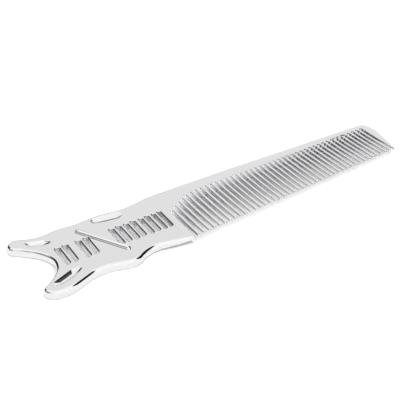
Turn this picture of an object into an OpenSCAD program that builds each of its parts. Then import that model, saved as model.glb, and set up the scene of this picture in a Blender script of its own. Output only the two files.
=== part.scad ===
// Barber's cutting comb with a fishtail handle, cut and polished from one piece of metal.
// Units are millimetres. +X runs along the comb from the tail to the far end, +Y points to the
// back edge (the teeth point to -Y) and +Z is up. The comb lies flat, with its underside at z = 0.
// The origin is on the underside, at the middle of the heel: the web between handle and teeth.
// Points on the outline are fractions: x of the handle's or the blade's length, or of the guard's
// width, and y of half the comb's width.

/* [Comb] */
// Length of the handle, from the middle of the heel to the tail's tip
handle_len = 63.4; // [60:0.2:68]
// Width of the comb at the heel, from the tooth tips to the back edge
heel_w = 33; // [31:0.5:36]
// Thickness of the handle and of the spine
plate_t = 3.8; // [3:0.1:4.5]

/* [Teeth] */
// Number of free teeth between the heel and the tip guard
tooth_count = 42; // [36:1:42]
// Distance from one tooth to the next
tooth_pitch = 2.65; // [2.5:0.05:2.8]
// Width of one tooth
tooth_w = 1.2; // [1:0.05:1.4]
// Thickness of the teeth at their tips
tip_t = 1; // [0.8:0.1:1.4]
// Length of the gap beside the heel, the shortest one
heel_gap_len = 19.5; // [18:0.5:20.5]
// Longest that the gaps would be at the heel if they didn't shorten there
long_gap_len = 27.2; // [26:0.1:28]
// How much shorter the gaps get between the heel and the far end
gap_taper = 5.4; // [4:0.1:7]
// Length of the slope in a gap's end
ramp_len = 2.5; // [2:0.1:3]
// Width of the web between the handle and the first gap
heel_len = 3.2; // [2.8:0.1:3.4]
// Thickness of the heel at its front corner
heel_tip_t = 2; // [1.4:0.1:2.6]
// Width of the solid guard at the far end, at its widest
guard_w = 4.65; // [4:0.05:6]

/* [Handle] */
// Width of the bar between a window's two slots
bar_w = 1.2; // [0.9:0.1:1.6]
// Length of the windows
window_len = 11.2; // [9:0.1:12]
// Radius of the half-round rib across the handle
rib_r = 1.1; // [0.5:0.05:1.2]
// Depth of the thumb's hollow beside the back edge
hollow_depth = 0.4; // [0.3:0.1:1]
// Depth of the pockets in the prongs
pocket_depth = 1; // [0.4:0.1:1.3]

/* [Hidden] */
$fn = 48;

half_w = heel_w / 2;
tip_y = -half_w;
gap_w = tooth_pitch - tooth_w;
heel_x = heel_len / 2;
guard_x = heel_x + tooth_count * tooth_pitch + gap_w;
blade_len = guard_x + guard_w;
// Twice the comb's length: long enough for any cutting shape
big = 2 * (handle_len + blade_len);
spline_steps = 5;
// How far below the top a gap's slope starts, and its height at its lower end
ramp_drop = 0.1;
ramp_foot = 0.3;
// How many teeth beside the heel stand in gaps that haven't reached their full length
heel_curve_teeth = 7;
heel_curve_len = heel_curve_teeth * tooth_pitch;

// Where the prongs leave the handle plate
prong_x = -0.65 * handle_len;
back_prong_y = 0.56 * half_w;
front_prong_y = -0.3 * half_w;

// Each window's middle and width, as fractions of the handle's length, and the line that they lie on
windows = [
    [-0.725, 0.084], [-0.588, 0.086], [-0.362, 0.082], [-0.26, 0.08], [-0.156, 0.075], [-0.064, 0.064]
];
window_slope = -0.07;
window_y0 = -0.35;

rib_start = handle_point(-0.57, 0.76);
rib_end = handle_point(-0.38, -0.45);

function handle_point(u, v) = [u * handle_len, v * half_w];
function blade_point(u, v) = [u * blade_len, v * half_w];
function guard_point(u, v) = [guard_x + u * guard_w, v * half_w];
function tooth_name(i) = str("tooth_", i < 10 ? "0" : "", i);

// Left side of gap i, counted from 0 at the heel. Tooth i stands between gaps i - 1 and i.
function gap_left(i) = heel_x + i * tooth_pitch;
// Length of a gap that starts at x, measured in the middle from the tooth tips to its round end
function gap_len(x) =
    long_gap_len - gap_taper * x / guard_x
    - (long_gap_len - heel_gap_len) * pow(max(0, 1 - (x - heel_x) / heel_curve_len), 2);
// Centre of gap i's round end
function gap_end_y(i) = tip_y + gap_len(gap_left(i)) - gap_w / 2;

// A smooth curve through the points: a Catmull-Rom spline whose ends are the first and last points
function spline_point(a, b, c, d, t) =
    0.5 * (2 * b + (c - a) * t + (2 * a - 5 * b + 4 * c - d) * t * t
    + (3 * b - a - 3 * c + d) * t * t * t);
function spline(p) =
    let (n = len(p) - 1)
    concat(
        [for (i = [0:n - 1], s = [0:spline_steps - 1])
            spline_point(p[max(i - 1, 0)], p[i], p[i + 1], p[min(i + 2, n)], s / spline_steps)],
        [p[n]]
    );

// The handle's edge from the heel's front corner, round the tail, to the back of the heel
front_edge = [
    [heel_x, tip_y], handle_point(-0.075, -0.915), handle_point(-0.15, -0.825),
    handle_point(-0.2, -0.775), handle_point(-0.25, -0.765), handle_point(-0.305, -0.81),
    handle_point(-0.35, -0.895), handle_point(-0.39, -0.92), handle_point(-0.43, -0.89),
    handle_point(-0.5, -0.805), handle_point(-0.56, -0.745), handle_point(-0.615, -0.73),
    handle_point(-0.66, -0.74), handle_point(-0.75, -0.84), handle_point(-0.795, -0.885),
    handle_point(-0.84, -0.9), handle_point(-0.875, -0.89)
];
front_prong_tip = [
    handle_point(-0.91, -0.86), handle_point(-0.94, -0.79), handle_point(-0.96, -0.69),
    handle_point(-0.963, -0.61), handle_point(-0.95, -0.545)
];
notch = [
    handle_point(-0.925, -0.49), handle_point(-0.89, -0.4), handle_point(-0.858, -0.3),
    handle_point(-0.833, -0.175), handle_point(-0.818, -0.03), handle_point(-0.812, 0.12),
    handle_point(-0.82, 0.28), handle_point(-0.838, 0.44), handle_point(-0.868, 0.61),
    handle_point(-0.905, 0.76), handle_point(-0.944, 0.91)
];
back_prong_tip = [
    handle_point(-0.984, 1.03), handle_point(-1, 1.14), handle_point(-0.994, 1.25),
    handle_point(-0.97, 1.33), handle_point(-0.94, 1.35)
];
back_edge = [
    handle_point(-0.9, 1.29), handle_point(-0.86, 1.21), handle_point(-0.81, 1.15),
    handle_point(-0.75, 1.13), handle_point(-0.695, 1.15), handle_point(-0.63, 1.13),
    handle_point(-0.565, 1.085), handle_point(-0.485, 1.08), handle_point(-0.395, 1.08),
    handle_point(-0.315, 1.03), handle_point(-0.235, 0.965), handle_point(-0.14, 0.965),
    handle_point(-0.045, 1.005)
];
// The blade's edge from the heel's back to the guard's tip
blade_back = [
    blade_point(0.04, 1.005), blade_point(0.13, 0.97), blade_point(0.36, 0.87),
    blade_point(0.69, 0.69), blade_point(0.92, 0.555)
];
guard_edge = [
    guard_point(-0.08, 0.525), guard_point(0.49, 0.465), guard_point(0.85, 0.34),
    guard_point(1, 0.15), guard_point(0.95, -0.1), guard_point(0.67, -0.45),
    guard_point(0.33, -0.85), guard_point(0.22, -0.94), guard_point(0.13, -0.99)
];

// Each hollow's rim, and the points of its keel, where it is deepest
front_pocket = [
    handle_point(-0.89, -0.52), handle_point(-0.757, -0.36), handle_point(-0.67, -0.385),
    handle_point(-0.753, -0.615), handle_point(-0.858, -0.685), handle_point(-0.892, -0.64)
];
front_keel = [handle_point(-0.835, -0.58), handle_point(-0.765, -0.5)];
back_pocket = [
    handle_point(-0.906, 1.115), handle_point(-0.892, 0.915), handle_point(-0.806, 0.76),
    handle_point(-0.739, 0.77), handle_point(-0.778, 0.93), handle_point(-0.845, 1.04)
];
back_keel = [handle_point(-0.855, 0.98), handle_point(-0.8, 0.87)];

thumb_hollow = [
    handle_point(-0.477, 0.955), handle_point(-0.448, 0.825), handle_point(-0.378, 0.735),
    handle_point(-0.29, 0.668), handle_point(-0.232, 0.735), handle_point(-0.26, 0.92),
    handle_point(-0.37, 0.99), handle_point(-0.43, 1.01)
];
thumb_keel = [handle_point(-0.444, 0.93), handle_point(-0.428, 0.85), handle_point(-0.29, 0.73)];

// The shoulder's bevel starts on the underside on this line
shoulder_start = handle_point(-0.42, -0.9);
shoulder_end = [heel_x, gap_end_y(0)];

module comb_outline() {
    polygon(spline(concat(
        front_edge, front_prong_tip, notch, back_prong_tip, back_edge,
        blade_back, guard_edge, [[guard_x, tip_y]]
    )));
}

// Everything between two values of x
module band(x0, x1) {
    translate([x0, -big / 2]) square([x1 - x0, big]);
}

module back_prong_zone() {
    translate([-big, back_prong_y]) square([big + prong_x, big]);
}

module front_prong_zone() {
    translate([-big, front_prong_y - big]) square([big + prong_x, big]);
}

// One window: two upright slots with round ends, and a bar between them
module window(x, width) {
    slot_w = (width - bar_w) / 2;
    end_y = (window_len - slot_w) / 2;
    for (side = [-1, 1]) {
        translate([x + side * (slot_w + bar_w) / 2, window_y0 + window_slope * x]) {
            square([slot_w, 2 * end_y], center = true);
            translate([0, end_y]) circle(d = slot_w);
            translate([0, -end_y]) circle(d = slot_w);
        }
    }
}

// The space under the shoulder's bevel, which thins the heel towards its front corner
module shoulder_bevel() {
    run = shoulder_end - shoulder_start;
    heading = atan2(run.y, run.x);
    to_tip = [heel_x, tip_y] - shoulder_start;
    reach = to_tip.x * sin(heading) - to_tip.y * cos(heading);
    tilt = atan2(plate_t - heel_tip_t, reach);
    translate([shoulder_start.x, shoulder_start.y, 0])
        rotate([0, 0, heading])
            rotate([-tilt, 0, 0])
                translate([-big / 2, -big, -big]) cube(big);
}

// A boat-shaped hollow in the top: straight facets from the rim down to a keel
module hollow(rim, keel, depth) {
    over = 0.01;
    hull() {
        translate([0, 0, plate_t]) linear_extrude(over) polygon(rim);
        for (p = keel) {
            translate([p.x, p.y, plate_t - depth]) cylinder(h = over, d = over);
        }
    }
}

// The side view of a tooth, with its underside rising from the root to the tip
module tooth_side(root_y) {
    rotate([90, 0, 90])
        linear_extrude(2 * blade_len)
            polygon([[root_y, 0], [tip_y, plate_t - tip_t], [tip_y, plate_t], [root_y, plate_t]]);
}

module handle_plate() {
    color("silver") difference() {
        linear_extrude(plate_t) difference() {
            intersection() {
                comb_outline();
                band(-big, -heel_x);
            }
            back_prong_zone();
            front_prong_zone();
            for (w = windows) window(w[0] * handle_len, w[1] * handle_len);
        }
        shoulder_bevel();
        hollow(thumb_hollow, thumb_keel, hollow_depth);
    }
}

module back_prong() {
    color("silver") difference() {
        linear_extrude(plate_t) intersection() {
            comb_outline();
            back_prong_zone();
        }
        hollow(back_pocket, back_keel, pocket_depth);
    }
}

module front_prong() {
    color("silver") difference() {
        linear_extrude(plate_t) intersection() {
            comb_outline();
            front_prong_zone();
        }
        hollow(front_pocket, front_keel, pocket_depth);
    }
}

module diagonal_rib() {
    run = rib_end - rib_start;
    color("silver") intersection() {
        translate([rib_start.x, rib_start.y, plate_t]) {
            rotate([0, 0, atan2(run.y, run.x)]) {
                rotate([0, 90, 0]) cylinder(h = norm(run), r = rib_r);
                sphere(r = rib_r);
                translate([norm(run), 0, 0]) sphere(r = rib_r);
            }
        }
        translate([-big / 2, -big / 2, plate_t]) cube(big);
    }
}

module heel() {
    color("silver") difference() {
        linear_extrude(plate_t) intersection() {
            comb_outline();
            band(-heel_x, heel_x);
        }
        shoulder_bevel();
    }
}

// The slope in gap i's end, from its round end down towards the tooth tips
module gap_ramp(i) {
    end_y = gap_end_y(i) + gap_w / 2;
    foot_y = end_y - ramp_len;
    translate([gap_left(i), 0, 0])
        rotate([90, 0, 90])
            linear_extrude(gap_w)
                polygon([[foot_y, 0], [end_y, 0], [end_y, plate_t - ramp_drop], [foot_y, ramp_foot]]);
}

// The back strip that carries the teeth, with the gaps' round ends cut into it and their slopes
module spine() {
    roots = [for (i = [0:tooth_count], side = [0, gap_w]) [gap_left(i) + side, gap_end_y(i)]];
    color("silver") {
        linear_extrude(plate_t) difference() {
            intersection() {
                comb_outline();
                polygon(concat([[heel_x, big]], roots, [[guard_x, big]]));
            }
            for (i = [0:tooth_count]) translate([gap_left(i) + gap_w / 2, gap_end_y(i)]) circle(d = gap_w);
        }
        for (i = [0:tooth_count]) gap_ramp(i);
    }
}

module tooth(i) {
    left = gap_left(i) - tooth_w;
    right = gap_left(i);
    round_y = tip_y + tooth_w / 2;
    root_y = max(gap_end_y(i - 1), gap_end_y(i));
    color("silver") intersection() {
        linear_extrude(plate_t) union() {
            polygon([[left, round_y], [right, round_y], [right, gap_end_y(i)], [left, gap_end_y(i - 1)]]);
            translate([left + tooth_w / 2, round_y]) circle(d = tooth_w);
        }
        tooth_side(root_y);
    }
}

module tip_guard() {
    root_y = gap_end_y(tooth_count);
    color("silver") difference() {
        linear_extrude(plate_t) intersection() {
            comb_outline();
            band(guard_x, big);
        }
        translate([0, root_y, 0])
            rotate([-atan2(plate_t - tip_t, root_y - tip_y), 0, 0])
                translate([0, -big, -big]) cube(big);
    }
}

handle_plate();
back_prong();
front_prong();
diagonal_rib();
heel();
spine();
tip_guard();
for (i = [1:tooth_count]) tooth(i);
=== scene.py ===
import math

import bpy
import numpy as np
from mathutils import Matrix, Vector, geometry


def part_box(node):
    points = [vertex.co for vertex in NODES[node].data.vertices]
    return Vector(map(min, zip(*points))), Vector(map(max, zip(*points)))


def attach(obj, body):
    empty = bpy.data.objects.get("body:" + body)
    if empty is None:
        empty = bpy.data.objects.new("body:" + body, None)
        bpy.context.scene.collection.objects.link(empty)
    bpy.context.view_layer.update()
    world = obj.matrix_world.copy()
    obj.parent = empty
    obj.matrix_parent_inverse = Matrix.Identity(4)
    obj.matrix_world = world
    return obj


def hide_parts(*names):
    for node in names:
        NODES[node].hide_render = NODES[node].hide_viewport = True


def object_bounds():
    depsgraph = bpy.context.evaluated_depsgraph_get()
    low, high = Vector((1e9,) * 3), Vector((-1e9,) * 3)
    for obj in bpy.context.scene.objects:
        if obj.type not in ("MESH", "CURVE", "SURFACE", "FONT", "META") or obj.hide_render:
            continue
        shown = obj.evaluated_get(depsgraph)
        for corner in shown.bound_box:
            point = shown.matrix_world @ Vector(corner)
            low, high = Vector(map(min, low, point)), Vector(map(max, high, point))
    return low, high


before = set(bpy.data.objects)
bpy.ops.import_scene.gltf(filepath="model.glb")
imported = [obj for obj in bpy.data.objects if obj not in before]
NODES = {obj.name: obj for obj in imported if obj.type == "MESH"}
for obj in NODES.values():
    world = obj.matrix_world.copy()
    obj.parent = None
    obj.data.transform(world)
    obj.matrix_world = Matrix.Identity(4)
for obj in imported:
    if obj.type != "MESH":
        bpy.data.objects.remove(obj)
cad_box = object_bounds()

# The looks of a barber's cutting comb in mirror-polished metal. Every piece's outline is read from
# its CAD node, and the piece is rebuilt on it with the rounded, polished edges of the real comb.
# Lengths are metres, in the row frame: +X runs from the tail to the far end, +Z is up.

MM = 0.001
WELD = 0.001 * MM
BODY = "root"
SLOT = "polished_metal"

TEETH = sorted(n for n in NODES if n.startswith("tooth_"))
PLATES = ["handle_plate", "back_prong", "front_prong", "heel", "spine", "tip_guard", *TEETH]
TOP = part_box("handle_plate")[1].z

# Radii of the rounded edges, on the top and on the underside
FRONT_TOP = 1.3 * MM
HANDLE_BACK_TOP = 0.95 * MM
BLADE_BACK_TOP = 1.2 * MM
GUARD_TOP = 0.5 * MM
EDGE_LOW = 0.85 * MM
TOOTH_TOP = 0.36 * MM
TOOTH_LOW = 0.25 * MM
# At the head of a gap, which is its round end in the spine
HEAD_TOP = 0.1 * MM
WINDOW_TOP = 0.35 * MM
# On the side of a window that is nearer to the teeth
WINDOW_FAR_TOP = 0.85 * MM
WINDOW_LOW = 0.3 * MM
# How fast a radius may change along the edge
RADIUS_SLOPE = 0.25
# The largest share of a convex curve's own radius that its rounded edge may take, the length on each
# side over which that curve is measured, and the turn in radians below which it counts as straight
CORNER_SHARE = 0.85
CORNER_WINDOW = 0.7 * MM
STRAIGHT = 0.05
# A corner in an outline that turns by more than SHARP gets an arc of CORNER_RADIUS
SHARP = math.radians(50)
CORNER_RADIUS = 0.45 * MM
# The most of each neighbouring side that an arc in place of a corner may take
ARC_SHARE = 0.45
# How far into the metal a seam steps, at its end on a free edge
SEAM_STEP = 1.0 * MM
# A normal with more than this share along an axis faces that way
FACING = 0.5
# The least share for a window's far side, which takes in most of its round ends
WINDOW_FACING = 0.3
# The same for the middle of a gap's head
HEAD_FACING = 0.9
# A seam with less than this share along a free edge's normal runs straight on from that edge
SEAM_ACROSS = 0.3
TOP_STEPS = 8
LOW_STEPS = 5

# The three hollows in the top: the rounded lip outside each rim, and how far the sides bend. Above
# zero they are steeper at the rim, like a bowl's
LIP = {"back_prong": 0.14 * MM, "front_prong": 0.14 * MM, "handle_plate": 0.2 * MM}
BOWL = {"back_prong": 0.7, "front_prong": 0.7, "handle_plate": 0.0}
# The arc at a rim's corners, and the distance between its points
RIM_CORNER = 0.9 * MM
RIM_SPACING = 0.6 * MM
# Points of a keel that are nearer than this to one another are one point
KEEL_SPACING = 0.1 * MM
# The most of the way to the keel that a lip takes, and how far down that way the sides go
LIP_SHARE = 0.5
SIDE_SHARE = 0.96
LIP_STEPS = 4
HOLLOW_STEPS = 6

# The slope at the head of each gap: its length and its foot's height, how far it goes on below the
# foot, and how far it reaches into the teeth beside it
RAMP_LEN = 2.5 * MM
RAMP_FOOT = 0.3 * MM
RAMP_DEPTH = 0.2 * MM
RAMP_OVERLAP = 0.05 * MM
RAMP_STEPS = 6

# The rib's points round each ring, and the rings to each of its round ends
RIB_AROUND = 32
RIB_STEPS = 10

# The "edge" attribute is 1 on an upright wall, 0 on a face and this in a hollow. It sets the roughness,
# and the painted shade on the walls
IN_HOLLOW = -1.0


# ---------------------------------------------------------------- outlines, read from the CAD

ids = {}
xy = []


def point_id(x, y):
    """The number of the point at (x, y). Points within a micron have the same number, in any node."""
    kx, ky = round(x / WELD), round(y / WELD)
    for dx in (0, -1, 1):
        for dy in (0, -1, 1):
            if (kx + dx, ky + dy) in ids:
                return ids[kx + dx, ky + dy]
    ids[kx, ky] = len(xy)
    xy.append(Vector((x, y)))
    return ids[kx, ky]


def pairs(loop):
    """Each item of a closed loop with the next one."""
    return list(zip(loop, loop[1:] + loop[:1]))


def closed_loops(follow):
    """The closed loops in a dict that gives the point after each point."""
    follow = dict(follow)
    loops = []
    while follow:
        start = next(iter(follow))
        loop, here = [start], follow.pop(start)
        while here != start:
            loop.append(here)
            here = follow.pop(here)
        loops.append(loop)
    return loops


def rims(node, z):
    """The loops of points round the node's flat face at height z. The longest comes first."""
    mesh = NODES[node].data
    mesh.calc_loop_triangles()
    edges = set()
    for triangle in mesh.loop_triangles:
        corners = [mesh.vertices[i].co for i in triangle.vertices]
        if any(abs(c.z - z) > WELD for c in corners):
            continue
        numbers = [point_id(c.x, c.y) for c in corners]
        if len(set(numbers)) < 3:
            continue
        for edge in pairs(numbers):
            if edge[::-1] in edges:
                edges.remove(edge[::-1])
            else:
                edges.add(edge)
    loops = closed_loops(sorted(edges))
    return sorted(loops, key=lambda loop: -sum((xy[b] - xy[a]).length for a, b in pairs(loop)))


def with_points_between(loop, places):
    """The loop with every point of any node that lies on one of its edges."""
    full = []
    for a, b in pairs(loop):
        start, run = places[a], places[b] - places[a]
        along = (places - start) @ run / (run @ run)
        off = np.linalg.norm(places - start - along[:, None] * run, axis=1)
        between = [k for k in np.nonzero((off < WELD) & (along > 0) & (along < 1))[0] if k not in (a, b)]
        full += [a, *sorted((int(k) for k in between), key=lambda k: along[k])]
    return full


def turn(a, b, c):
    """The angle by which a path through three points turns left."""
    u, v = b - a, c - b
    return math.atan2(u.x * v.y - u.y * v.x, u.dot(v))


def fillet(a, b, c, radius, steps=8):
    """An arc of points in place of corner b."""
    u, v = (a - b).normalized(), (c - b).normalized()
    half = u.angle(v) / 2
    reach = min(radius / math.tan(half), ARC_SHARE * (a - b).length, ARC_SHARE * (c - b).length)
    start, end = b + reach * u, b + reach * v
    centre = b + (u + v).normalized() * reach / math.cos(half)
    swept = math.pi - 2 * half
    arc = []
    for k in range(steps + 1):
        t = k / steps
        from_start, from_end = math.sin((1 - t) * swept), math.sin(t * swept)
        arm = (start - centre) * from_start + (end - centre) * from_end
        arc.append(centre + arm / math.sin(swept))
    return arc


outlines = {node: rims(node, TOP) for node in PLATES}
# A hollow's rim has straight sides, so it is the loop with the fewest points
hollows = {node: min(outlines[node], key=len) for node in ("back_prong", "front_prong", "handle_plate")}
for node, rim in hollows.items():
    outlines[node].remove(rim)
places = np.array([tuple(p) for p in xy])
for node in PLATES:
    outlines[node] = [with_points_between(loop, places) for loop in outlines[node]]


def seam_edges():
    """The edges that two nodes' outlines share, where the pieces meet face to face."""
    every = {edge for node in PLATES for loop in outlines[node] for edge in pairs(loop)}
    return {edge for edge in every if edge[::-1] in every}


def with_round_corners(loop):
    """The loop with an arc in place of each sharp corner that no seam touches."""
    rounded = []
    for k, here in enumerate(loop):
        last, next_ = loop[k - 1], loop[(k + 1) % len(loop)]
        free = (last, here) not in seams and (here, next_) not in seams
        if free and turn(xy[last], xy[here], xy[next_]) > SHARP:
            arc = fillet(xy[last], xy[here], xy[next_], CORNER_RADIUS)
            rounded += [point_id(*p) for p in arc]
        else:
            rounded.append(here)
    return rounded


seams = seam_edges()
for node in PLATES:
    outlines[node] = [with_round_corners(loop) for loop in outlines[node]]

# The point after and the point before each point of a free edge
seams = seam_edges()
after, before = {}, {}
for node in PLATES:
    for loop in outlines[node]:
        for a, b in pairs(loop):
            if (a, b) not in seams:
                after[a], before[b] = b, a


def outward(i):
    """The direction out of the metal at a point of a free edge."""
    along = xy[after[i]] - xy[before[i]]
    return Vector((along.y, -along.x)).normalized()


OUT = {i: outward(i) for i in after}


def corner_limits(loop, lengths):
    """The largest radius that each point's own convex curve leaves room for."""
    n = len(loop)
    turns = [turn(xy[loop[k - 1]], xy[loop[k]], xy[loop[(k + 1) % n]]) for k in range(n)]
    limits = []
    for k in range(n):
        total = turns[k]
        for step in (1, -1):
            j, gone = k, 0.0
            while True:
                gone += lengths[j % n] if step > 0 else lengths[(j - 1) % n]
                j += step
                if gone > CORNER_WINDOW:
                    break
                total += turns[j % n]
        limits.append(CORNER_SHARE * 2 * CORNER_WINDOW / total if total > STRAIGHT else math.inf)
    return limits


def edge_radii(loop, wanted):
    """Radii along a free edge: as wanted, less where the curve is tight, and changing gradually."""
    n = len(loop)
    lengths = [(xy[loop[(k + 1) % n]] - xy[loop[k]]).length for k in range(n)]
    radii = [min(w, limit) for w, limit in zip(wanted, corner_limits(loop, lengths))]
    for _ in range(2):
        for k in range(n):
            radii[k] = min(radii[k], radii[k - 1] + RADIUS_SLOPE * lengths[k - 1])
        for k in range(n - 1, -1, -1):
            radii[k] = min(radii[k], radii[(k + 1) % n] + RADIUS_SLOPE * lengths[k])
    return radii


HEEL_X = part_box("heel")[1].x
GUARD_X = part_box("tip_guard")[0].x
TOOTH_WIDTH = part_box(TEETH[0])[1].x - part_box(TEETH[0])[0].x
TOOTH_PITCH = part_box(TEETH[1])[0].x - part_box(TEETH[0])[0].x


def between_teeth(i):
    """Whether a point of the outer edge lies on a tooth or in a gap."""
    return HEEL_X - WELD < xy[i].x < GUARD_X + WELD and OUT[i].y < FACING


def edge_top(i):
    """The radius that the outer edge's top should have at a point."""
    if between_teeth(i):
        at_head = OUT[i].y < -FACING and xy[i].y > 0
        return HEAD_TOP if at_head else TOOTH_TOP
    if xy[i].x > GUARD_X and OUT[i].x > FACING:
        return GUARD_TOP
    if OUT[i].y > FACING:
        return BLADE_BACK_TOP if xy[i].x > HEEL_X else HANDLE_BACK_TOP
    return FRONT_TOP


# The longest free edge is the comb's outer edge, and the others are the windows'
R_TOP, R_LOW = {}, {}
for n, loop in enumerate(sorted(closed_loops(after), key=len, reverse=True)):
    if n == 0:
        tops = [edge_top(i) for i in loop]
        lows = [TOOTH_LOW if between_teeth(i) else EDGE_LOW for i in loop]
    else:
        tops = [WINDOW_FAR_TOP if OUT[i].x < -WINDOW_FACING else WINDOW_TOP for i in loop]
        lows = [WINDOW_LOW] * len(loop)
    R_TOP.update(zip(loop, edge_radii(loop, tops)))
    R_LOW.update(zip(loop, edge_radii(loop, lows)))


def add_seam_corners():
    """Where a seam runs straight on from a free edge, it first steps into the metal, to clear the
    rounded edge."""
    corners = {}
    for a, b in sorted(seams):
        for end, other in ((a, b), (b, a)):
            if end in OUT:
                along = (xy[other] - xy[end]).normalized()
                if abs(along.dot(OUT[end])) < SEAM_ACROSS:
                    corners[a, b] = point_id(*(xy[end] - SEAM_STEP * OUT[end]))
    for node in PLATES:
        for n, loop in enumerate(outlines[node]):
            stepped = []
            for a, b in pairs(loop):
                stepped += [a, corners[a, b]] if (a, b) in corners else [a]
            outlines[node][n] = stepped


add_seam_corners()
seams = seam_edges()


# ---------------------------------------------------------------- meshes

def underside(node):
    """The node's flat faces that look down, as (a, b, c) of z = a x + b y + c."""
    found = {}
    for polygon in NODES[node].data.polygons:
        n = polygon.normal
        if n.z < -FACING:
            a, b = -n.x / n.z, -n.y / n.z
            at = polygon.center
            key = (round(a, 3), round(b, 3))
            size, _ = found.get(key, (0, None))
            found[key] = (size + polygon.area, (a, b, at.z - a * at.x - b * at.y))
    return [plane for size, plane in found.values() if size > MM * MM]


def height(surface, x, y):
    """The height of a surface at (x, y). It is the highest of its planes there."""
    return max(a * x + b * y + c for a, b, c in surface)


class Shell:
    """A mesh in the making: its points, the normals that are known, and its faces."""

    def __init__(self):
        self.points, self.normals, self.edge, self.faces = [], [], [], []

    def add(self, point, normal=(0, 0, 0), edge=0.0):
        self.points.append(tuple(point))
        self.normals.append(tuple(normal))
        self.edge.append(edge)
        return len(self.points) - 1

    def walls(self, rows):
        """Quads between rows of points, which run from the bottom up and go round the metal."""
        for low, high in pairs(rows):
            for k in range(len(low) - 1):
                self.faces.append((low[k], high[k], high[k + 1], low[k + 1]))

    def cap(self, loops, up=True):
        """Triangles over the first loop of points, less the other loops."""
        flat = [[Vector((self.points[i][0], self.points[i][1], 0)) / MM for i in loop] for loop in loops]
        numbers = [i for loop in loops for i in loop]
        for triangle in geometry.tessellate_polygon(flat):
            a, b, c = (numbers[k] for k in triangle)
            p, q, r = (Vector(self.points[k][:2]) for k in (a, b, c))
            left = (q.x - p.x) * (r.y - p.y) - (q.y - p.y) * (r.x - p.x)
            self.faces.append((a, b, c) if (left > 0) == up else (a, c, b))

    def object(self, name):
        """The shell as an object, with its normals and its "edge" attribute."""
        mesh = bpy.data.meshes.new(name)
        mesh.from_pydata(self.points, [], self.faces)
        mesh.validate()
        for polygon in mesh.polygons:
            polygon.use_smooth = True
        mesh.attributes.new("edge", "FLOAT", "POINT").data.foreach_set("value", self.edge)
        mesh.normals_split_custom_set_from_vertices(self.normals)
        made = bpy.data.objects.new(name, mesh)
        bpy.context.scene.collection.objects.link(made)
        return made


def rounded_row(shell, at, out, inward, r_top, r_low, top, low):
    """A row of points up an edge, rounded at the bottom and at the top."""
    scale = -1 / inward.dot(out)

    def place(angle, radius, surface, up):
        """A point on the arc that rises from the surface, or with an up of -1 hangs from it."""
        p = at + inward * scale * radius * (1 - math.cos(angle))
        z = height(surface, *p) + up * radius * (1 + up * math.sin(angle))
        n = (out.x * math.cos(angle), out.y * math.cos(angle), math.sin(angle))
        return shell.add((*p, z), n, math.cos(angle))

    row = [place(math.radians(-90 + 90 * k / LOW_STEPS), r_low, low, 1) for k in range(LOW_STEPS + 1)]
    row += [place(math.radians(90 * k / TOP_STEPS), r_top, top, -1) for k in range(TOP_STEPS + 1)]
    return row


def plain_row(shell, at, top, low):
    """A row of points straight up, on a seam."""
    z0, z1 = height(low, *at), height(top, *at)
    steps = LOW_STEPS + TOP_STEPS + 1
    return [shell.add((*at, z0 + (z1 - z0) * k / steps)) for k in range(steps + 1)]


def plate(node):
    """A piece of the comb's plate, on the outline of its CAD node."""
    shell = Shell()
    low, top = underside(node), [(0, 0, TOP)]
    lids, floors = [], []
    for loop in outlines[node]:
        rows = []
        for k, i in enumerate(loop):
            last, next_ = loop[k - 1], loop[(k + 1) % len(loop)]
            seam_in, seam_out = (last, i) in seams, (i, next_) in seams
            if seam_in and seam_out:
                rows.append(plain_row(shell, xy[i], top, low))
                continue
            inward = -OUT[i]
            if seam_in:
                inward = (xy[last] - xy[i]).normalized()
            if seam_out:
                inward = (xy[next_] - xy[i]).normalized()
            rows.append(rounded_row(shell, xy[i], OUT[i], inward, R_TOP[i], R_LOW[i], top, low))
        shell.walls(rows)
        lids.append([row[-1] for row in rows])
        floors.append([row[0] for row in rows])
    for lid in lids:
        for i in lid:
            shell.normals[i] = (0, 0, 1)
    if node in hollows:
        lids.append(hollow(shell, node))
    if node == "spine":
        for head in gap_heads():
            ramp(shell, head)
    shell.cap(lids)
    shell.cap(floors, up=False)
    return shell


def inside(p, polygon):
    """Whether a point lies in a polygon."""
    found = False
    for a, b in pairs(polygon):
        if (a.y > p.y) != (b.y > p.y) and p.x < a.x + (b.x - a.x) * (p.y - a.y) / (b.y - a.y):
            found = not found
    return found


def nearest(p, line):
    """The point of a line of points that is nearest to p."""
    found = []
    for a, b in zip(line, line[1:]):
        share = max(0.0, min(1.0, (p - a).dot(b - a) / (b - a).length_squared))
        found.append(a.lerp(b, share))
    return min(found, key=lambda q: (q - p).length)


def keel_of(node, rim):
    """The line of points along the bottom of a hollow, and its height."""
    inner = [v.co.copy() for v in NODES[node].data.vertices if WELD * 10 < v.co.z < TOP - WELD * 10]
    inner = sorted((p for p in inner if inside(p.xy, rim)), key=tuple)
    keel = []
    for p in inner:
        if all((p.xy - q).length > KEEL_SPACING for q in keel):
            keel.append(p.xy)
    return keel, min(p.z for p in inner)


def rim_path(rim):
    """Closely spaced points round a rim, with arcs in place of its corners."""
    path = []
    for k, p in enumerate(rim):
        path += fillet(rim[k - 1], p, rim[(k + 1) % len(rim)], RIM_CORNER, steps=5)
    fine = []
    for p, q in pairs(path):
        steps = max(1, round((q - p).length / RIM_SPACING))
        fine += [p.lerp(q, s / steps) for s in range(steps)]
    return fine


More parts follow.
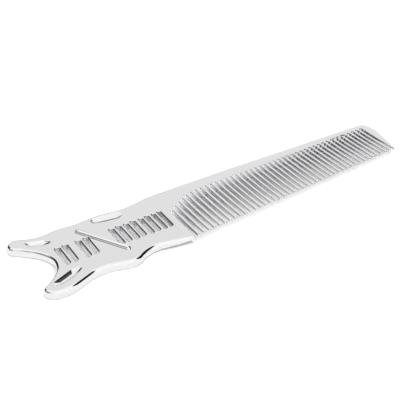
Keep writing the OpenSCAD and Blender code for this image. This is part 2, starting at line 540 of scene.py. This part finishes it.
def hollow(shell, node):
    """A hollow in the top, from its lip down to its keel. Returns the points of the lip's outer edge."""
    rim = [xy[i] for i in hollows[node]][::-1]
    keel, bottom = keel_of(node, rim)
    path = rim_path(rim)
    lip, bend = LIP[node], BOWL[node]
    rows = []
    for k, p in enumerate(path):
        along = path[(k + 1) % len(path)] - path[k - 1]
        out = Vector((along.y, -along.x)).normalized()
        low = nearest(p, keel)
        row = [shell.add((*(p + lip * out), TOP), (0, 0, 1))]
        first = min(lip / (low - p).length, LIP_SHARE)
        drop = (TOP - bottom) * (first + bend * first * (1 - first))
        for s in range(1, LIP_STEPS + 1):
            t = s / LIP_STEPS
            q = (p + lip * out).lerp(p.lerp(low, first), t)
            row.append(shell.add((*q, TOP - drop * t * t), edge=1 - t))
        for s in range(1, HOLLOW_STEPS + 1):
            t = first + (SIDE_SHARE - first) * s / HOLLOW_STEPS
            z = TOP - (TOP - bottom) * (t + bend * t * (1 - t))
            row.append(shell.add((*p.lerp(low, t), z), edge=IN_HOLLOW))
        rows.append(row[::-1])
    shell.walls(rows[::-1])
    shell.cap([[row[0] for row in rows]])
    return [row[-1] for row in rows]


def gap_heads():
    """The middle of each gap's round end, on the spine's outline."""
    free = [i for i in outlines["spine"][0] if i in OUT and after[i] in OUT]
    turned = [i for i in free if OUT[i].y < -HEAD_FACING]
    return [xy[i].lerp(xy[after[i]], 0.5) for i in turned if OUT[i].x > 0 >= OUT[after[i]].x]


def ramp(shell, head):
    """The slope in a gap's end, from the gap's round end down towards the underside."""
    half = 0.5 * (TOOTH_PITCH - TOOTH_WIDTH) + RAMP_OVERLAP
    start, foot = TOP - HEAD_TOP, RAMP_FOOT
    normal = Vector((0, foot - start, RAMP_LEN)).normalized()
    sides = []
    for x in (head.x - half, head.x + half):
        slope = []
        for s in range(RAMP_STEPS + 1):
            t = s / RAMP_STEPS
            slope.append(shell.add((x, head.y - RAMP_LEN * t, start + (foot - start) * t), normal))
        below = foot - RAMP_DEPTH
        slope += [shell.add((x, head.y - RAMP_LEN, below)), shell.add((x, head.y, below))]
        sides.append(slope)
    left, right = sides
    for (a, b), (c, d) in zip(pairs(left), pairs(right)):
        shell.faces.append((a, b, d, c))
    shell.faces.append(tuple(left[::-1]))
    shell.faces.append(tuple(right))


def diagonal_rib():
    """A half-round rib with round ends, its lower half inside the plate."""
    shell = Shell()
    low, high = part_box("diagonal_rib")
    radius = high.z - TOP
    # It runs from its back corner on the tail side to its front corner on the heel side
    start = Vector((low.x + radius, high.y - radius, TOP))
    end = Vector((high.x - radius, low.y + radius, TOP))
    axis = (end - start).normalized()
    side = Vector((0, 0, 1)).cross(axis)
    # Each ring's centre, and how far towards the nearer pole it lies, as a share of the radius
    stations = [(start, -math.cos(math.pi / 2 * k / RIB_STEPS)) for k in range(1, RIB_STEPS + 1)]
    stations += [(end, math.sin(math.pi / 2 * k / RIB_STEPS)) for k in range(RIB_STEPS)]
    rings = []
    for centre, along in stations:
        across = math.sqrt(max(0.0, 1 - along * along))
        ring = []
        for s in range(RIB_AROUND):
            angle = 2 * math.pi * s / RIB_AROUND
            n = axis * along + (side * math.cos(angle) + Vector((0, 0, 1)) * math.sin(angle)) * across
            ring.append(shell.add(centre + radius * n, n))
        rings.append(ring)
    for here, there in zip(rings, rings[1:]):
        for k in range(RIB_AROUND):
            j = (k + 1) % RIB_AROUND
            shell.faces.append((here[k], here[j], there[j], there[k]))
    for ring, centre, n in ((rings[0], start, -axis), (rings[-1], end, axis)):
        pole = shell.add(centre + radius * n, n)
        for a, b in pairs(ring):
            shell.faces.append((pole, b, a) if ring is rings[0] else (pole, a, b))
    return shell


# ---------------------------------------------------------------- material

FACE_COLOR = (0.86, 0.86, 0.87, 1)
# Painted shade: the walls' colour is darker than the faces' to stand in for their darker reflections
SHADED_WALL_COLOR = (0.75, 0.75, 0.76, 1)
# The depths of the long wave and of the hairlines in the surface
WAVE_DEPTH = 0.003 * MM
HAIRLINE_DEPTH = 0.0006 * MM


def link(tree, output, socket):
    tree.links.new(output, socket)


def map_range(tree, value, start, end, low, high, interpolation="LINEAR"):
    """A value's stretch from start to end, mapped to the stretch from low to high."""
    node = tree.nodes.new("ShaderNodeMapRange")
    node.interpolation_type = interpolation
    for name, number in zip(("From Min", "From Max", "To Min", "To Max"), (start, end, low, high)):
        node.inputs[name].default_value = number
    link(tree, value, node.inputs["Value"])
    return node.outputs["Result"]


def polished_metal():
    """Bright metal, polished by hand: a faint long wave in the reflections, hairlines, and walls and
    hollows that are duller than the faces: rougher, and on the walls a painted shade that darkens the
    colour."""
    made = bpy.data.materials.new(SLOT)
    made.use_nodes = True
    tree = made.node_tree
    shader = tree.nodes["Principled BSDF"]
    shader.inputs["Metallic"].default_value = 1
    where = tree.nodes.new("ShaderNodeTexCoord")

    def noise(scale, detail, stretch=(1, 1, 1), turned=0.0):
        mapping = tree.nodes.new("ShaderNodeMapping")
        mapping.inputs["Scale"].default_value = stretch
        mapping.inputs["Rotation"].default_value = (0, 0, turned)
        texture = tree.nodes.new("ShaderNodeTexNoise")
        texture.inputs["Scale"].default_value = scale
        texture.inputs["Detail"].default_value = detail
        link(tree, where.outputs["Object"], mapping.inputs["Vector"])
        link(tree, mapping.outputs["Vector"], texture.inputs["Vector"])
        return texture.outputs["Fac"]

    def add(a, b):
        node = tree.nodes.new("ShaderNodeMath")
        link(tree, a, node.inputs[0])
        link(tree, b, node.inputs[1])
        return node.outputs["Value"]

    def bump(depth, height_map):
        node = tree.nodes.new("ShaderNodeBump")
        node.inputs["Distance"].default_value = depth
        node.inputs["Strength"].default_value = 1
        link(tree, height_map, node.inputs["Height"])
        return node

    # Roughness: smudges, hairlines, and a little more on the walls and in the hollows
    smudges = map_range(tree, noise(120, 4), 0.35, 0.7, 0.035, 0.07)
    hairlines = noise(900, 3, stretch=(0.05, 1, 1), turned=0.3)
    fine = map_range(tree, hairlines, 0.6, 0.75, 0, 0.03)
    edge = tree.nodes.new("ShaderNodeAttribute")
    edge.attribute_name = "edge"
    rubbed = map_range(tree, edge.outputs["Fac"], 0.2, 1, 0, 0.03)
    sunk = map_range(tree, edge.outputs["Fac"], IN_HOLLOW, 0, 0.13, 0)
    link(tree, add(add(smudges, fine), add(rubbed, sunk)), shader.inputs["Roughness"])

    # Colour: painted shade, darker on the upright walls, standing in for their darker reflections
    painted_wall_shade = tree.nodes.new("ShaderNodeMix")
    painted_wall_shade.data_type = "RGBA"
    colors = [socket for socket in painted_wall_shade.inputs if socket.type == "RGBA"]
    colors[0].default_value = FACE_COLOR
    colors[1].default_value = SHADED_WALL_COLOR
    link(tree, map_range(tree, edge.outputs["Fac"], 0.86, 1, 0, 1), painted_wall_shade.inputs[0])
    painted_shade_color = next(socket for socket in painted_wall_shade.outputs if socket.type == "RGBA")
    link(tree, painted_shade_color, shader.inputs["Base Color"])

    wave = bump(WAVE_DEPTH, noise(90, 1))
    scratch = bump(HAIRLINE_DEPTH, hairlines)
    link(tree, wave.outputs["Normal"], scratch.inputs["Normal"])
    link(tree, scratch.outputs["Normal"], shader.inputs["Normal"])
    return made


metal = polished_metal()


def keep(shell, node):
    """The finished piece, in place of its CAD node."""
    piece = shell.object("comb_" + node)
    piece.data.materials.append(metal)
    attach(piece, BODY)
    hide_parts(node)


for node in PLATES:
    keep(plate(node), node)
keep(diagonal_rib(), "diagonal_rib")


# ---------------------------------------------------------------- floor, light and camera

SHEET_SIZE = 3.0
SHEET_COLOR = (0.86, 0.86, 0.86, 1)
# How far the sheet lies below the comb
SHEET_GAP = 0.02 * MM


def floor():
    """A large pale sheet under the comb, which reaches as far as SHEET_SIZE from the middle."""
    corners = [(SHEET_SIZE * x, SHEET_SIZE * y, 0) for x, y in ((-1, -1), (1, -1), (1, 1), (-1, 1))]
    mesh = bpy.data.meshes.new("floor")
    mesh.from_pydata(corners, [], [(0, 1, 2, 3)])
    made = bpy.data.objects.new("floor", mesh)
    made.location.z = cad_box[0].z - SHEET_GAP
    bpy.context.scene.collection.objects.link(made)
    paper = bpy.data.materials.new("paper")
    paper.use_nodes = True
    shader = paper.node_tree.nodes["Principled BSDF"]
    shader.inputs["Base Color"].default_value = SHEET_COLOR
    shader.inputs["Roughness"].default_value = 1
    shader.inputs["Specular IOR Level"].default_value = 0
    mesh.materials.append(paper)


# The studio as seen from the comb: elevations in degrees, and the brightness at each
LEVELS = [(0, 0.97), (24, 0.93), (33, 0.87), (45, 0.86), (51, 1.06), (68, 1.06), (82, 0.98)]
# Round cards: azimuth, elevation, radius and soft edge in degrees, and the share of the light that each
# leaves. Above 1 it is a bright card. Azimuths go from +X, the far end, through +Y, the comb's back
CARDS = [
    (-10, 31, 35, 5, 0.02),
    (117, 28, 22, 8, 0.03),
    (76, 4, 16, 6, 0.15),
    (50, 5, 16, 7, 1.3),
    (170, 30, 20, 12, 0.4),
    (-92, 24, 34, 16, 1.18),
]
# What the camera sees past the sheet
BACKDROP = 0.96


def direction(azimuth, elevation):
    """The unit vector to an azimuth and elevation in degrees."""
    a, e = math.radians(azimuth), math.radians(elevation)
    return Vector((math.cos(a) * math.cos(e), math.sin(a) * math.cos(e), math.sin(e)))


def studio():
    """A white dome that is a little greyer halfway up, with dark cards at both ends and behind, and
    bright ones in front and behind."""
    world = bpy.data.worlds.new("studio")
    bpy.context.scene.world = world
    world.use_nodes = True
    tree = world.node_tree
    background = tree.nodes["Background"]
    where = tree.nodes.new("ShaderNodeTexCoord")
    axes = tree.nodes.new("ShaderNodeSeparateXYZ")
    link(tree, where.outputs["Generated"], axes.inputs["Vector"])

    def maths(operation, *values):
        node = tree.nodes.new("ShaderNodeMath")
        node.operation = operation
        for socket, value in zip(node.inputs, values):
            if isinstance(value, (int, float)):
                socket.default_value = value
            else:
                link(tree, value, socket)
        return node.outputs["Value"]

    def step(value, start, end, low, high):
        return map_range(tree, value, start, end, low, high, "SMOOTHSTEP")

    elevation = maths("DEGREES", maths("ARCSINE", axes.outputs["Z"]))
    light = LEVELS[0][1]
    for (start, low), (end, high) in zip(LEVELS, LEVELS[1:]):
        light = maths("ADD", light, step(elevation, start, end, 0, high - low))
    for azimuth, rise, radius, soft, left in CARDS:
        near = tree.nodes.new("ShaderNodeVectorMath")
        near.operation = "DOT_PRODUCT"
        near.inputs[1].default_value = direction(azimuth, rise)
        link(tree, where.outputs["Generated"], near.inputs[0])
        angle = maths("DEGREES", maths("ARCCOSINE", near.outputs["Value"]))
        light = maths("MULTIPLY", light, step(angle, radius, radius + soft, left, 1))
    path = tree.nodes.new("ShaderNodeLightPath")
    seen = tree.nodes.new("ShaderNodeMix")
    link(tree, path.outputs["Is Camera Ray"], seen.inputs["Factor"])
    link(tree, light, seen.inputs["A"])
    seen.inputs["B"].default_value = BACKDROP
    link(tree, seen.outputs["Result"], background.inputs["Strength"])
    background.inputs["Color"].default_value = (1, 1, 1, 1)


LAMP_PLACE = Vector((0.05, -0.9, 2.4))
LAMP_SIZE = 2.4
LAMP_ENERGY = 56.0


def floor_light():
    """A wide lamp above and in front that lights the sheet and isn't mirrored in the metal."""
    data = bpy.data.lights.new("floor_light", "AREA")
    data.shape = "DISK"
    data.size = LAMP_SIZE
    data.energy = LAMP_ENERGY
    made = bpy.data.objects.new("floor_light", data)
    aim = LAMP_PLACE.to_track_quat("Z", "Y").to_matrix().to_4x4()
    made.matrix_world = Matrix.Translation(LAMP_PLACE) @ aim
    made.visible_glossy = False
    made.visible_camera = False
    bpy.context.scene.collection.objects.link(made)


CAMERA_PLACE = Vector((-115.0, -192.1, 186.5)) * MM
CAMERA_FORWARD = Vector((0.4424, 0.6525, -0.6151))
# The focal length on a 36 mm sensor, and half a pixel as a share of a 400 x 400 picture
SENSOR = 36
LENS = 62.64
HALF_PIXEL = 0.5 / 400
CLIP_START = 0.01


def camera():
    """The photograph's camera, about 29 cm from the comb, looking down along it from the tail side."""
    data = bpy.data.cameras.new("camera")
    made = bpy.data.objects.new("camera", data)
    bpy.context.scene.collection.objects.link(made)
    forward = CAMERA_FORWARD.normalized()
    right = forward.cross(Vector((0, 0, 1))).normalized()
    up = right.cross(forward)
    turned = Matrix((right, up, -forward)).transposed().to_4x4()
    made.matrix_world = Matrix.Translation(CAMERA_PLACE) @ turned
    data.sensor_width = SENSOR
    data.lens = LENS
    data.shift_x = -HALF_PIXEL
    data.shift_y = HALF_PIXEL
    data.clip_start = CLIP_START
    bpy.context.scene.camera = made


floor()
studio()
floor_light()
camera()
bpy.context.scene.cycles.max_bounces = 24
bpy.context.scene.cycles.glossy_bounces = 20
bpy.context.scene.view_settings.view_transform = "Standard"
